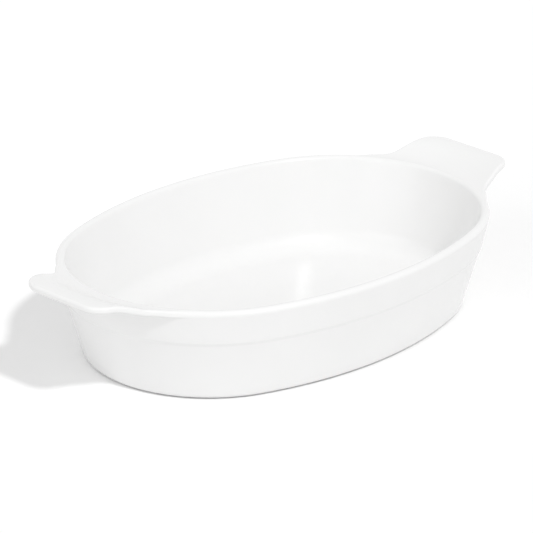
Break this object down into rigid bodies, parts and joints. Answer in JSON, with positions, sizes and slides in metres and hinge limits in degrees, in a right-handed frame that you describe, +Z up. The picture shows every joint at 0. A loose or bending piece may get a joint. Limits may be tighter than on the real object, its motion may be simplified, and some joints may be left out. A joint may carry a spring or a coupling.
{
  "type": "gratin dish",
  "caption": "Oval white porcelain gratin dish with a raised band under its rounded rim, a flat coved well and a tab handle at each end.",
  "frame": {"origin": "middle of the foot, on the surface that the dish stands on", "axes": "+X along the dish through both handles, +Z up"},
  "size_m": [0.318, 0.1844, 0.0628],
  "materials": {
    "biscuit": "matte",
    "bare_foot": "matte",
    "white_glaze": "gloss"
  },
  "bodies": {
    "root": {"dish_body": "biscuit", "left_handle": "biscuit", "right_handle": "biscuit", "foot_ring": "bare_foot", "glaze": "white_glaze"}
  },
  "joints": []
}
